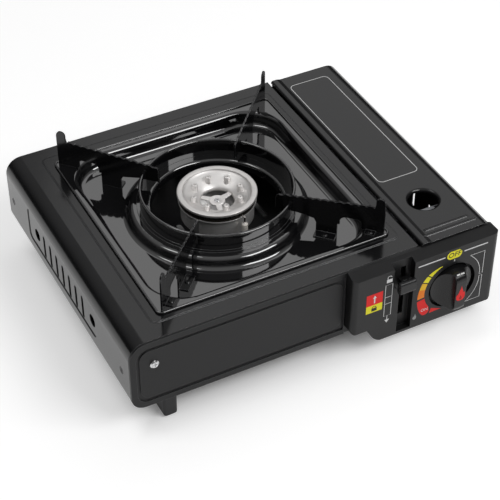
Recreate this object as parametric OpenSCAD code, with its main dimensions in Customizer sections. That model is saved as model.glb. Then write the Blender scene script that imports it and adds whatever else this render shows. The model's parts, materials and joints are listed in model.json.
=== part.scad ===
// Butane cassette stove: a pressed-steel box with a burner and a lift-out drip tray on the left,
// and a gas bay on the right under a hinged lid. Millimetres, +Z up, origin at the middle of the
// footprint on the ground. Inside each module X runs from the left wall, Y from the face of the
// front panel and Z from the ground; place() moves that frame to the origin.

/* [Body] */
// Width over the left wall and the lid
body_w = 345; // [340:1:352]
// Depth from the front panel to the back edge
body_d = 275; // [272:1:284]
// Height of the body box
body_h = 70; // [66:1:80]
// Height of the body box above the ground
foot_h = 26; // [22:1:32]
// Thickness of the pressed sheet
sheet = 1; // [0.8:0.1:1.2]
// Radius of the bend from the left wall into the top
roll_r = 15; // [10:1:20]
// Radius of the bend from the left wall into the underside
under_r = 13; // [8:1:16]

/* [Burner] */
// Burner axis from the left wall
burner_x = 146.5; // [145:0.5:148]
// Burner axis from the front panel
burner_y = 137; // [136:0.5:138]
// Radius of the burner cap
cap_r = 35.6; // [34:0.2:37]
// Number of flame ports around the burner
port_count = 48; // [36:4:60]

/* [Drip tray and pan supports] */
// Width of the drip tray
tray_w = 218; // [214:1:219]
// Depth of the drip tray from front to back
tray_d = 225; // [221:1:226]
// Depth of the tray's dish
dish_depth = 13; // [11:0.5:14]
// Height of the pan supports' outermost tooth above the tray
support_rise = 27; // [24:0.5:30]
// Height of the horns at the ends of the pan supports above the tray
horn_rise = 36.5; // [33:0.5:39]
// Number of teeth on each pan support
tooth_count = 12; // [9:1:14]

/* [Gas bay and lid] */
// Seam between the top plate and the lid, from the left wall
seam_x = 270; // [269:0.5:270.5]
// Height of the lid's raised left border above the top plate
lid_rise = 3.4; // [3:0.2:4.4]
// How far the gas bay hangs below the body box
bay_drop = 12; // [10:1:14]
// Radius of the butane canister that the bay holds
canister_r = 33.5; // [33:0.1:34]

/* [Controls] */
// Depth of the moulded control panel
panel_t = 12; // [11:0.5:14]
// Knob axis from the left wall
knob_x = 299; // [297:0.5:301]
// Height of the knob axis above the body's lower edge
knob_h = 24.5; // [24:0.5:26]
// Radius of the knob
knob_r = 21; // [20:0.2:22]
// How far the knob stands out of the control panel
knob_out = 14; // [12:0.5:16]
// Turn of the knob from off to the spark
knob_turn = 135; // [120:5:150]
// Half of the lock lever's swing
lever_swing = 9; // [8:0.5:10]

/* [Hidden] */
$fn = 64;
eps = 0.01;

// Heights above the ground
z_base = foot_h;
z_top = foot_h + body_h;
z_bay = foot_h - bay_drop;
z_lid = z_top + lid_rise;
lid_press = 1;
z_face = z_lid - lid_press;
z_knob = z_base + knob_h;

// Front to back
overall_front = -(panel_t + knob_out);
y_mid = (body_d + overall_front) / 2;
panel_sheet = 1.2;
panel_face = 2 * panel_sheet;
back_y = body_d - 4;

// Body
bay_wall_x = body_w - 1.4;
part_x = seam_x - 4;
step_h = 0.8;
step_x0 = 29;
step_x1 = 262;
step_y0 = 18;
step_y1 = 261;
field_x1 = 195.5;
field_inset = 8.5;
slot_count = 7;
slot_pitch = 14.4;
slot_y0 = 100.5;
slot_z0 = z_base + 22;
slot_z1 = z_base + 46;

// Tray datum: the top of its flat ledge, a hair over the stepped top plate
tray_sheet = 0.8;
rest_gap = 0.3;
z_tray = z_top + step_h + rest_gap + tray_sheet;
tray_hx = tray_w / 2;
tray_hy = tray_d / 2;
dish_inset = 4;
dish_r = 38;
bend_r = 5;
hump_r = 74;
hump_rise = 9.5;
well_r = 58;
ring_r = 68;
ring_sheet = 1.2;
ring_top = 12.5;
ring_lap = 8;

// Pan supports, measured along their own diagonal from the burner axis
arm_sheet = 1.6;
arm_turns = [46.3, 133.7, 226.3, 313.7];
arm_out = 151.5;
arm_in = 54;
horn_w = 8.5;
foot_in0 = 91;
foot_in1 = 110;
foot_out0 = 131;
ledge_foot = [135.5, 144.5];

// Lid hinge, in the gap between the end panels and the trough
hinge_x = body_w - 5;
hinge_z = z_top - 34;
hinge_pin_r = 1.5;
ear_t = 1;
ear_gap = 0.4;
ear_y0 = panel_face + ear_gap;
ear_y1 = back_y - ear_gap - ear_t;
trough_y0 = ear_y0 + ear_t + 0.5;
trough_y1 = ear_y1 - 0.5;

// Lock lever
lever_x = 250;
lever_t = 2;
lever_y = 80;
lever_z = z_base + 30.5;
lever_arm = 93.7;
lever_crank = 18.8;

// Gas line
can_x = (part_x + sheet + bay_wall_x - sheet) / 2;
can_z = z_bay + 6 + canister_r;
valve_y = 22;
mix_z = z_base + 14;
mix_r = 7.5;
mix_from = [284, 34];
mix_dx = mix_from[0] - burner_x;
mix_dy = mix_from[1] - burner_y;
mix_len = sqrt(mix_dx * mix_dx + mix_dy * mix_dy);
mix_turn = atan2(mix_dy, mix_dx);

// Finishes
black_gloss = [0.03, 0.03, 0.032];
black_satin = [0.06, 0.06, 0.062];
black_plastic = [0.08, 0.08, 0.082];
rubber = [0.12, 0.12, 0.12];
bright_steel = [0.75, 0.75, 0.76];
pale_alloy = [0.83, 0.82, 0.80];
zinc = [0.62, 0.63, 0.65];
brass = [0.72, 0.58, 0.30];

// ---------- helpers ----------

// From the working frame to the middle of the footprint
module place() translate([-body_w / 2, -y_mid, 0]) children();

// Drawing planes: a flat outline pushed along each axis
module along_y(y0, y1) translate([0, y1, 0]) rotate([90, 0, 0]) linear_extrude(y1 - y0) children();
module along_x(x0, x1) translate([x0, 0, 0]) rotate([90, 0, 90]) linear_extrude(x1 - x0) children();
module along_z(z0, z1) translate([0, 0, z0]) linear_extrude(z1 - z0) children();

// A cylinder along Y or X
module rod_y(x, z, r, y0, y1) along_y(y0, y1) translate([x, z]) circle(r);
module rod_x(y, z, r, x0, x1) along_x(x0, x1) translate([y, z]) circle(r);

module box2(x0, y0, x1, y1) translate([x0, y0]) square([x1 - x0, y1 - y0]);

module round2(x0, y0, x1, y1, r) {
    box2(x0 + r, y0, x1 - r, y1);
    box2(x0, y0 + r, x1, y1 - r);
    for (x = [x0 + r, x1 - r], y = [y0 + r, y1 - r]) translate([x, y]) circle(r);
}

module slot2(x, y0, y1, r) {
    box2(x - r, y0 + r, x + r, y1 - r);
    for (y = [y0 + r, y1 - r]) translate([x, y]) circle(r);
}

// What a rounded corner leaves out of a square one; sx and sy point into the shape
module corner2(x, y, sx, sy, r)
    difference() {
        box2(min(x - sx, x + sx * r), min(y - sy, y + sy * r), max(x - sx, x + sx * r),
             max(y - sy, y + sy * r));
        translate([x + sx * r, y + sy * r]) circle(r);
    }

// A quarter of a bent sheet, between two radii, in the quadrant that sx and sy point to
module bend2(x, y, r0, r1, sx, sy)
    translate([x, y])
        intersection() {
            difference() {
                circle(r1);
                circle(r0);
            }
            box2(min(0, sx * (r1 + 1)), min(0, sy * (r1 + 1)), max(0, sx * (r1 + 1)),
                 max(0, sy * (r1 + 1)));
        }

// A profile drawn outwards from a corner's centre, swept round a rounded rectangle
module sweep_round(cx, cy)
    for (i = [0:3]) {
        across = i % 2 == 0 ? cx : cy;
        along = i % 2 == 0 ? cy : cx;
        rotate(90 * i)
            translate([across, 0, 0]) {
                translate([0, along, 0]) rotate([90, 0, 0]) linear_extrude(2 * along) children();
                translate([0, along, 0]) rotate_extrude(angle = 90) children();
            }
    }

// A pan-head screw whose head looks along +Z, its underside at zero
module pan_screw(head_r, head_h, shank_r, shank_l) {
    difference() {
        union() {
            cylinder(h = head_h * 0.5, r = head_r);
            translate([0, 0, head_h * 0.5]) cylinder(h = head_h * 0.5, r1 = head_r, r2 = head_r * 0.72);
        }
        for (a = [0, 90]) rotate(a) translate([-head_r * 0.55, -0.35, head_h * 0.4]) cube([head_r * 1.1, 0.7, head_h]);
    }
    translate([0, 0, -shank_l]) cylinder(h = shank_l, r = shank_r);
}

// ---------- body ----------

// The body box seen from the front, shrunk by d, with its two rounded left corners
module body_outline(d, x1)
    difference() {
        box2(d, z_base + d, x1, z_top - d);
        corner2(d, z_top - d, 1, -1, roll_r - d);
        corner2(d, z_base + d, 1, 1, under_r - d);
    }

// The end panels' outline: the body box and the deeper gas bay beside it
module end_outline(d) {
    body_outline(d, part_x + 1);
    difference() {
        box2(part_x - 2, z_bay, bay_wall_x - d, z_top - 5);
        corner2(part_x - 2, z_bay, 1, 1, 6);
        corner2(bay_wall_x - d, z_bay, -1, 1, 9);
    }
}

module side_vents() {
    for (i = [0:slot_count - 1]) translate([slot_y0 + i * slot_pitch, 0]) slot2(0, slot_z0, slot_z1, 2.3);
    for (y = [79.3, 203.6]) translate([y, z_base + 35.5]) circle(5.8);
}

module body_shell()
    color(black_satin) place()
    difference() {
        union() {
            along_y(panel_face, body_d)
                difference() {
                    body_outline(0, seam_x);
                    body_outline(sheet, seam_x + 5);
                    box2(34, z_base - 1, seam_x + 1, z_base + sheet + 1);
                }
            for (i = [0:1])
                along_z(z_top - eps, z_top + step_h * (i + 1) / 2)
                    round2(step_x0 + i, step_y0 + i, step_x1 - i, step_y1 - i, 6 - i);
            along_x(sheet - eps, sheet + 0.6) round2(68, z_base + 17, 227, z_base + 57, 8);
            along_y(panel_face + 4, body_d - 6) box2(seam_x - sheet, z_top - 6, seam_x, z_top - eps);
        }
        along_z(z_top - 3, z_top + 3)
            translate([burner_x, burner_y])
                round2(-tray_hx + 4.3, -tray_hy + 4.3, tray_hx - 4.3, tray_hy - 4.3, 37.7);
        along_x(-0.5, 0.6) round2(71, z_base + 20, 224, z_base + 54, 6);
        along_x(-1, 4) side_vents();
        for (y = [18.3, body_d - 13]) {
            rod_x(y, z_base + 32, 3.4, -1, 0.5);
            rod_x(y, z_base + 32, 1.7, -1, 4);
        }
    }

module front_panel()
    color(black_plastic) place()
    difference() {
        union() {
            along_y(panel_sheet, panel_face) end_outline(0);
            along_y(0, panel_face - eps)
                difference() {
                    body_outline(0, field_x1 + 3);
                    difference() {
                        box2(5.5, z_base + 5.5, field_x1 + 2, z_top - 5.5);
                        corner2(5.5, z_top - 5.5, 1, -1, roll_r - 3);
                        corner2(5.5, z_base + 5.5, 1, 1, under_r - 3);
                    }
                }
            along_y(0, panel_face - eps)
                round2(field_inset, z_base + field_inset + 1, field_x1, z_top - field_inset, 9);
            along_y(panel_face - eps, panel_face + 20)
                difference() {
                    body_outline(sheet + 0.1, part_x - 8);
                    body_outline(2 * sheet + 0.1, part_x);
                    box2(-1, z_base - 1, part_x + 1, z_base + 16);
                }
        }
        rod_x(18.3, z_base + 32, 1.7, -1, 4);
        for (x = [21.3, 206]) rod_y(x, z_base + 45.8, 1.7, -1, 5);
        for (x = panel_screw_x) rod_y(x, z_base + 13, 1.4, -1, 5);
        rod_y(knob_x, z_knob, 9, -1, 5);
        along_y(-1, 5) box2(lever_x - 3, z_base + 3, lever_x + lever_t + 3, z_base + 62);
        rod_y(hinge_x, hinge_z, hinge_pin_r, -1, 5);
    }

module back_panel()
    color(black_satin) place()
    difference() {
        union() {
            along_y(back_y, back_y + sheet) end_outline(sheet + 0.1);
            along_y(back_y - 14, back_y + eps)
                difference() {
                    body_outline(sheet + 0.1, part_x - 8);
                    body_outline(2 * sheet + 0.1, part_x);
                    box2(-1, z_base - 1, part_x + 1, z_base + 16);
                }
        }
        rod_x(body_d - 13, z_base + 32, 1.7, -1, 4);
        for (row = [0:1], i = [0:8])
            along_y(back_y - 1, back_y + 3)
                translate([52 + i * 22, 0]) slot2(0, z_base + 14 + row * 24, z_base + 30 + row * 24, 1.8);
        for (x = [24, 246], z = [z_base + 12, z_base + 58]) rod_y(x, z, 1.7, back_y - 1, back_y + 3);
        rod_y(hinge_x, hinge_z, hinge_pin_r, back_y - 1, back_y + 3);
    }

module base_plate()
    color(black_satin) place()
    difference() {
        union() {
            along_z(z_base + sheet, z_base + 2 * sheet) box2(under_r + 2, panel_face + 0.1, part_x - 1.1, back_y - 0.1);
            for (y = [60, 220]) along_z(z_base, z_base + 1.5 * sheet) round2(70, y - 5, 225, y + 5, 4.8);
            for (y = [panel_face + 0.1, back_y - 1.1])
                along_z(z_base + sheet, z_base + 9) box2(80, y, 232, y + sheet);
        }
        for (i = [0:5], row = [0:1])
            along_z(z_base - 1, z_base + 4)
                translate([82 + i * 26, row * 80 + 88]) slot2(0, 0, 28, 2.5);
        for (x = [42, 246], y = [30, body_d - 30]) translate([x, y, z_base - 1]) cylinder(h = 5, r = 1.7);
        for (s = [-1, 1]) translate([burner_x + s * 49.5, burner_y, z_base - 1]) cylinder(h = 5, r = 1.7);
    }

// The gas bay's floor and right wall, in one bent sheet with two pressed runners
module bay_trough()
    color(black_satin) place()
    difference() {
        union() {
            along_y(trough_y0, trough_y1)
                difference() {
                    difference() {
                        box2(part_x - sheet, z_bay, bay_wall_x, z_top - 10);
                        corner2(part_x - sheet, z_bay, 1, 1, 4);
                        corner2(bay_wall_x, z_bay, -1, 1, 9);
                    }
                    difference() {
                        box2(part_x, z_bay + sheet, bay_wall_x - sheet, z_top + 1);
                        corner2(part_x, z_bay + sheet, 1, 1, 3);
                        corner2(bay_wall_x - sheet, z_bay + sheet, -1, 1, 8);
                    }
                    box2(part_x - 3, z_base + 2, part_x + 1, z_top + 1);
                }
            for (x = [can_x - 16, can_x + 16])
                along_z(z_bay + sheet - eps, z_bay + sheet + 0.8) round2(x - 3, 66, x + 3, 262, 2.9);
        }
        for (i = [0:4])
            along_x(bay_wall_x - 3, bay_wall_x + 1) translate([92 + i * 26, 0]) slot2(0, z_bay + 14, z_bay + 34, 1.8);
        for (i = [0:3])
            along_z(z_bay - 1, z_bay + 1.8) translate([can_x, 92 + i * 40]) slot2(0, 0, 24, 3);
        for (y = [24, body_d - 24]) rod_x(y, z_base + 20, 1.7, bay_wall_x - 3, bay_wall_x + 1);
    }

// The heat shield between the burner and the canister
module partition()
    color(zinc) place()
    difference() {
        union() {
            along_x(part_x, part_x + sheet) box2(trough_y0, z_bay + 4.2, trough_y1, z_top - sheet);
            along_z(z_top - 2 * sheet, z_top - sheet) box2(part_x - 4, trough_y0, part_x + sheet, trough_y1);
            along_x(part_x + sheet - eps, part_x + sheet + 0.6)
                for (y = [112, 172]) round2(y, z_base + 12, y + 46, z_base + 52, 6);
        }
        translate([burner_x, burner_y, mix_z]) rotate(mix_turn) rotate([0, 90, 0]) cylinder(h = mix_len, r = 12);
        along_x(part_x - 1, part_x + 3)
            round2(lever_y - 9, lever_z + lever_crank - 9, lever_y + 10, lever_z + lever_crank + 7, 3);
        rod_x(30, z_base + 8, 3.2, part_x - 1, part_x + 3);
        for (i = [0:3], row = [0:1]) rod_x(125 + i * 32, z_base + 24 + row * 18, 4, part_x - 1, part_x + 3);
    }

// ---------- feet and fasteners ----------

pad_t = 2;

module foot(x, y, top) {
    difference() {
        along_z(pad_t, top) round2(x, y, x + 13, y + 18, 2.5);
        for (a = [0, 1])
            translate([0, y - 1, 0]) rotate([-90, 0, 0])
                linear_extrude(20) translate([x, -pad_t]) corner2(13 * a, 0, 1 - 2 * a, -1, 2.2);
        translate([x + 6.5, y + 9, top - 12]) cylinder(h = 13, r = 1.5);
    }
}

left_feet = [[29, 4], [29, body_d - 24]];
right_feet = [[317, 22], [317, body_d - 42]];

module foot_front_left() color(black_plastic) place() foot(left_feet[0][0], left_feet[0][1], z_base);
module foot_back_left() color(black_plastic) place() foot(left_feet[1][0], left_feet[1][1], z_base);
module foot_front_right() color(black_plastic) place() foot(right_feet[0][0], right_feet[0][1], z_bay);
module foot_back_right() color(black_plastic) place() foot(right_feet[1][0], right_feet[1][1], z_bay);

module foot_pads()
    color(rubber) place()
    for (p = concat(left_feet, right_feet))
        along_z(0, pad_t) round2(p[0] + 1.5, p[1] + 1.5, p[0] + 11.5, p[1] + 16.5, 2);

module front_panel_screws()
    color(bright_steel) place()
    for (x = [21.3, 206])
        translate([x, x < 100 ? 0 : panel_sheet, z_base + 45.8]) rotate([90, 0, 0]) pan_screw(4, 1.8, 1.6, 6);

module side_screws()
    color(black_satin) place()
    for (y = [18.3, body_d - 13])
        translate([0.5, y, z_base + 32]) rotate([0, -90, 0]) pan_screw(3, 0.5, 1.6, 5);

module back_panel_screws()
    color(bright_steel) place()
    for (x = [24, 246], z = [z_base + 12, z_base + 58])
        translate([x, back_y + sheet, z]) rotate([-90, 0, 0]) pan_screw(3.6, 1.8, 1.6, 6);

module base_screws()
    color(bright_steel) place()
    for (x = [246], y = [30, body_d - 30])
        translate([x, y, z_base + sheet]) rotate([180, 0, 0]) pan_screw(3.4, 1.6, 1.6, 5);

// ---------- controls ----------

lip_x0 = 217;
lip_x1 = 235;
panel_x0 = 199;
panel_back = 1.1;
panel_screw_x = [knob_x - 20, knob_x + 20, 222];
slot_x0 = 244.3;
slot_x1 = 258.7;
slot_floor = -5.5;
slot_back = -3.1;
recess_floor = -6;
strip_drop = 4;

// The control panel from the front, with the lip that drops below the gas bay on the right
module panel_front(d)
    difference() {
        box2(panel_x0 + d, z_bay + d, body_w - d, z_top - d);
        box2(panel_x0 - 1, z_bay - 1, lip_x0 + d, z_base + 6 + d);
        corner2(lip_x0 + d, z_bay + d, 1, 1, lip_x1 - lip_x0);
        corner2(panel_x0 + d, z_base + 6 + d, 1, 1, 4);
        corner2(body_w - d, z_bay + d, -1, 1, 9 - d);
        corner2(body_w - d, z_top - d, -1, -1, 6);
    }

// From the side: a flat face, a sloping strip along the top and rounded long edges
module panel_side(d)
    difference() {
        polygon([[panel_back + d, z_bay + d - 1], [-panel_t + d, z_bay + d - 1],
                 [-panel_t + d, z_top - strip_drop - d], [-1.2, z_top - d], [panel_back + d, z_top - d]]);
        corner2(-panel_t + d, z_bay + d, 1, 1, 2);
    }

// From above: rounded at both ends
module panel_plan(d)
    difference() {
        box2(panel_x0 + d, -panel_t + d, body_w - d, panel_back + d);
        corner2(panel_x0 + d, -panel_t + d, 1, 1, 5);
        corner2(body_w - d, -panel_t + d, -1, 1, 6);
    }

module panel_solid(d)
    intersection() {
        along_y(-panel_t - 1, panel_back + d) panel_front(d);
        along_x(panel_x0 - 1, body_w + 1) panel_side(d);
        along_z(z_bay - 1, z_top + 1) panel_plan(d);
    }

// The lever's slot from the front, grown by g: a narrow channel that widens to the left at the top
module lever_channel(g, top) {
    box2(slot_x0 - g, z_bay + 4 - g, slot_x1 + g, top);
    polygon([[slot_x0 - 6 - g, top], [slot_x0 - 6 - g, z_base + 49 - g], [slot_x0 + 0.1 - g, z_base + 40 - g],
             [slot_x1 + g, z_base + 40 - g], [slot_x1 + g, top]]);
}

module control_panel()
    color(black_plastic) place()
    difference() {
        union() {
            difference() {
                panel_solid(0);
                panel_solid(2.2);
            }
            intersection() {
                panel_solid(0.5);
                union() {
                    along_y(-panel_t + 1, slot_back) lever_channel(2, z_top - 3);
                    rod_y(knob_x, z_knob, 26, -panel_t + 1, recess_floor + 2.2);
                    for (x = panel_screw_x) rod_y(x, z_base + 13, 3, -panel_t + 1, panel_back);
                }
            }
        }
        along_y(-panel_t - 1, slot_floor) lever_channel(0, z_top + 20);
        along_y(slot_floor - 1, 2) box2(lever_x - 1.2, z_base + 6, lever_x + lever_t + 1.6, z_base + 60);
        rod_y(knob_x, z_knob, knob_r + 2.6, -panel_t - 1, recess_floor);
        rod_y(knob_x, z_knob, 7, -panel_t - 1, 2);
        for (x = panel_screw_x) rod_y(x, z_base + 13, 1.3, -4, 2);
    }

module control_panel_screws()
    color(bright_steel) place()
    for (x = panel_screw_x)
        translate([x, panel_face, z_base + 13]) rotate([-90, 0, 0]) pan_screw(3, 1.4, 1.2, 6);

// A disc with a tall grip bar, whose flanks run down to the rim in one sweep
module knob()
    color(black_plastic) place()
    translate([knob_x, knob_y0, z_knob]) rotate([90, 0, 0]) knob_form();

knob_y0 = -6.5;
grip_half = 5.25;
rim_h = 4;

module knob_form() {
    tall = panel_t + knob_out + knob_y0;
    flank_r = tall - rim_h;
    difference() {
        rotate_extrude($fn = 96)
            difference() {
                box2(0, 0, knob_r, tall);
                corner2(knob_r, tall, -1, -1, 7);
            }
        for (s = [-1, 1])
            translate([s * (grip_half + flank_r), -knob_r - 5, tall])
                rotate([-90, 0, 0]) cylinder(h = 2 * knob_r + 10, r = flank_r);
        for (s = [-1, 1])
            translate([s * (grip_half + flank_r) - (s < 0 ? flank_r + 5 : 0), -knob_r - 5, rim_h])
                cube([flank_r + 5, 2 * knob_r + 10, tall]);
        translate([0, 0, -1]) cylinder(h = 12, r = 3.05);
    }
}

cam_r0 = 6;
cam_lift = 4;
cam_y0 = 9;
cam_y1 = 15;

function cam_angle(i, n) = -90 - (360 * i) / n;
function cam_radius(i, n) = cam_r0 + cam_lift * min(1, (360 * i) / n / knob_turn) * (i / n <= 0.5 ? 1 : 2 - 2 * i / n);

// The spindle carries the spiral cam that cocks the igniter
module knob_spindle()
    color(bright_steel) place()
    translate([knob_x, 0, z_knob]) {
        rotate([-90, 0, 0]) translate([0, 0, -panel_t - 4.5]) cylinder(h = panel_t + 4.5 + valve_y + 4, r = 3);
        rotate([90, 0, 0])
            translate([0, 0, -cam_y1])
                linear_extrude(cam_y1 - cam_y0)
                    polygon([for (i = [0:71]) cam_radius(i, 72) * [cos(cam_angle(i, 72)), sin(cam_angle(i, 72))]]);
    }

// ---------- canister lock ----------

module lever_bracket()
    color(zinc) place()
    difference() {
        union() {
            along_x(lever_x + 5, lever_x + 6.2)
                polygon([[panel_face, lever_z - 16], [40, lever_z - 6], [lever_y + 6, lever_z - 6],
                         [lever_y + 6, lever_z + 7], [30, lever_z + 7], [panel_face, lever_z + 14]]);
            along_y(panel_face, panel_face + 1.2) box2(lever_x + 5, lever_z - 16, lever_x + 15, lever_z + 14);
        }
        rod_x(lever_y, lever_z, 2.55, lever_x, lever_x + 8);
    }

module lever_pivot()
    color(bright_steel) place() {
        rod_x(lever_y, lever_z, 2.5, lever_x - 1, lever_x + 6.2);
        rod_x(lever_y, lever_z, 4, lever_x - 2.2, lever_x - 0.4);
        rod_x(lever_y, lever_z, 4, lever_x + 6.2, lever_x + 7.4);
        rod_x(lever_y, lever_z, 3.6, lever_x + lever_t + 0.4, lever_x + 4.99);
    }

// A bell crank: the long arm ends in the finger piece, the short one drives the carriage
module lock_lever()
    color(bright_steel) place()
    translate([0, lever_y, lever_z]) rotate([-lever_swing, 0, 0]) {
        difference() {
            along_x(lever_x, lever_x + lever_t)
                union() {
                    circle(7);
                    polygon([[0, 5], [-81, 3.4], [-lever_arm, 3.4], [-lever_arm, -3.4], [-81, -3.4], [0, -4.2]]);
                    polygon([[-5, 0], [-4, lever_crank], [4, lever_crank], [5, 0]]);
                    translate([0, lever_crank]) circle(4);
                }
            rod_x(0, 0, 2.55, lever_x - 1, lever_x + lever_t + 1);
        }
        rod_x(0, lever_crank, 2, lever_x + lever_t - eps, part_x + 6);
    }

// A block in front of the panel's face, on a neck that reaches through the slot to the arm
module lever_cap()
    color(black_plastic) place()
    translate([0, lever_y, lever_z]) rotate([-lever_swing, 0, 0])
        difference() {
            union() {
                along_x(slot_x0 - 3.3, slot_x1 - 2.2)
                    rotate(lever_swing) round2(-99.5, 10.7, -93.8, 23.2, 2.5);
                along_x(lever_x - 4, lever_x + 6) box2(-94.6, -5.7, -88.6, 5.7);
            }
            along_x(lever_x, lever_x + lever_t) box2(-lever_arm, -3.4, -80, 3.4);
        }

module valve_bracket()
    color(zinc) place()
    difference() {
        union() {
            along_y(valve_y, valve_y + 1.2) round2(part_x + 4, z_bay + 4, 333, z_base + 56, 3);
            for (x = [part_x + 4, 331.8]) along_x(x, x + 1.2) box2(panel_face, z_bay + 8, valve_y + 0.6, z_base + 50);
        }
        rod_y(knob_x, z_knob, 3.5, valve_y - 1, valve_y + 3);
        for (a = [45:90:315])
            rod_y(can_x + 22 * cos(a), can_z + 22 * sin(a), 1.6, valve_y - 1, valve_y + 3);
        rod_y(276.4, 28.7, 3.2, valve_y - 1, valve_y + 3);
    }

// A part turned about the canister's axis: the profile is drawn as radius against depth
module about_canister() translate([can_x, 0, can_z]) rotate([-90, 0, 0]) rotate_extrude() children();

module regulator_body()
    color(zinc) place()
    difference() {
        union() {
            about_canister() box2(0, valve_y + 1.2, 25, valve_y + 5);
            about_canister() box2(0, valve_y + 4.9, 19, valve_y + 16);
            translate([burner_x, burner_y, mix_z]) rotate(mix_turn) rotate([0, 90, 0])
                translate([0, 0, mix_len - 6]) cylinder(h = 12, r = 5);
            along_z(mix_z - 6.5, can_z) box2(mix_from[0] - 2, valve_y + 4, mix_from[0] + 16, mix_from[1] + 3);
        }
        rod_y(knob_x, z_knob, 3.3, valve_y, valve_y + 5);
        for (a = [45:90:315])
            rod_y(can_x + 22 * cos(a), can_z + 22 * sin(a), 1.6, valve_y - 1, valve_y + 9);
    }

module regulator_cover()
    color(pale_alloy) place()
    difference() {
        about_canister()
            difference() {
                box2(0, valve_y + 16, 21, valve_y + 22);
                corner2(21, valve_y + 22, -1, -1, 3);
            }
        for (a = [0:60:300])
            rod_y(can_x + 17.5 * cos(a), can_z + 17.5 * sin(a), 1.3, valve_y + 15, valve_y + 23);
        rod_y(can_x, can_z, 5.05, valve_y + 15, valve_y + 23);
    }

module regulator_screws()
    color(bright_steel) place()
    for (a = [0:60:300])
        translate([can_x + 17.5 * cos(a), valve_y + 22, can_z + 17.5 * sin(a)])
            rotate([-90, 0, 0]) pan_screw(2.6, 1.4, 1.2, 5.9);

module inlet_nozzle()
    color(brass) place()
    about_canister()
        difference() {
            union() {
                box2(1.5, valve_y + 16, 5, valve_y + 22);
                box2(1.5, valve_y + 22, 9, valve_y + 30);
            }
            corner2(9, valve_y + 30, -1, -1, 1.5);
            box2(4, valve_y + 28.2, 7, valve_y + 31);
        }

module inlet_seal()
    color(rubber) place()
    about_canister() box2(4.05, valve_y + 28.2, 6.95, valve_y + 30.6);

// The arch over the canister's collar, with the tab that finds the collar's notch
module canister_guide()
    color(zinc) place()
    difference() {
        union() {
            along_y(valve_y + 25, valve_y + 26.2)
                difference() {
                    box2(can_x - 31, can_z - 4, can_x + 31, can_z + 36);
                    translate([can_x, can_z]) circle(26);
                    corner2(can_x - 31, can_z + 36, 1, -1, 8);
                    corner2(can_x + 31, can_z + 36, -1, -1, 8);
                }
            along_y(valve_y + 1.2, valve_y + 26) box2(can_x - 10, can_z + 34.8, can_x + 10, can_z + 36);
            along_y(valve_y + 1.2, valve_y + 2.4) box2(can_x - 10, can_z + 26, can_x + 10, can_z + 36);
            along_y(valve_y + 26, valve_y + 34)
                difference() {
                    box2(can_x - 3, can_z + 25.5, can_x + 3, can_z + 28.5);
                    box2(can_x - 1.8, can_z + 25, can_x + 1.8, can_z + 27.3);
                }
        }
    }

pad_y = 244;
floor_gap = 0.4;
z_slide = z_bay + sheet + 0.8 + floor_gap;

// The cradle that the lever draws forward to press the canister into the regulator
module canister_carriage()
    color(zinc) place()
    difference() {
        union() {
            along_z(z_slide, z_slide + 1.2) round2(can_x - 22, 64, can_x + 22, pad_y + 8, 4);
            for (y = [92, 196])
                along_y(y, y + 1.2)
                    difference() {
                        box2(can_x - 22, z_slide, can_x + 22, z_slide + 10);
                        translate([can_x, can_z]) circle(canister_r + 0.4);
                    }
            along_y(pad_y + 6.8, pad_y + 8)
                difference() {
                    box2(can_x - 18, z_slide, can_x + 18, can_z + 8);
                    corner2(can_x - 18, can_z + 8, 1, -1, 12);
                    corner2(can_x + 18, can_z + 8, -1, -1, 12);
                }
            along_z(z_slide, z_slide + 1.2) box2(part_x + 2.3, lever_y - 12, can_x - 10, lever_y + 18);
            along_x(part_x + 2.3, part_x + 3.5)
                difference() {
                    box2(lever_y - 12, z_slide, lever_y + 18, lever_z + lever_crank + 5);
                    corner2(lever_y - 12, lever_z + lever_crank + 5, 1, -1, 6);
                    corner2(lever_y + 18, lever_z + lever_crank + 5, -1, -1, 6);
                }
        }
        along_x(part_x, part_x + 6)
            translate([lever_y + lever_crank * sin(lever_swing), 0])
                slot2(0, lever_z + lever_crank - 4, lever_z + lever_crank + 12, 2.35);
        along_z(z_slide - 1, z_slide + 3)
            for (y = [112, 156, 216]) translate([can_x, y]) slot2(0, 0, 24, 7);
    }

module carriage_pad()
    color(rubber) place()
    rod_y(can_x, can_z - 6, 12, pad_y + 3.8, pad_y + 6.8);

// ---------- gas line and burner ----------

// Along the gas line, from the burner's axis out to the injector
module on_mix_line() translate([burner_x, burner_y, mix_z]) rotate(mix_turn) rotate([0, 90, 0]) children();

module injector()
    color(brass) place() on_mix_line()
        translate([0, 0, mix_len - 19])
            difference() {
                union() {
                    cylinder(h = 6, r1 = 1.8, r2 = 3.5);
                    translate([0, 0, 6]) cylinder(h = 7, r = 4.5, $fn = 6);
                }
                translate([0, 0, -1]) cylinder(h = 15, r = 0.6);
            }

module mixing_tube()
    color(bright_steel) place() on_mix_line()
        rotate_extrude()
            union() {
                box2(mix_r - 1, 9.5, mix_r, mix_len - 44);
                polygon([[mix_r - 1, mix_len - 44], [mix_r, mix_len - 44], [9.5, mix_len - 30],
                         [9.5, mix_len - 16], [8.5, mix_len - 16], [8.5, mix_len - 30]]);
            }

module air_shutter()
    color(zinc) place() on_mix_line()
        difference() {
            translate([0, 0, mix_len - 28]) cylinder(h = 10, r = 10.5);
            translate([0, 0, mix_len - 29]) cylinder(h = 12, r = 9.55);
            for (a = [0:90:270])
                rotate(a + 45) translate([6, -3, mix_len - 26]) cube([8, 6, 6]);
        }

module at_burner() translate([burner_x, burner_y, 0]) children();

z_cap = z_top + 9.9;
cup_r = 32.6;
z_ports = z_top + 1.8;

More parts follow.
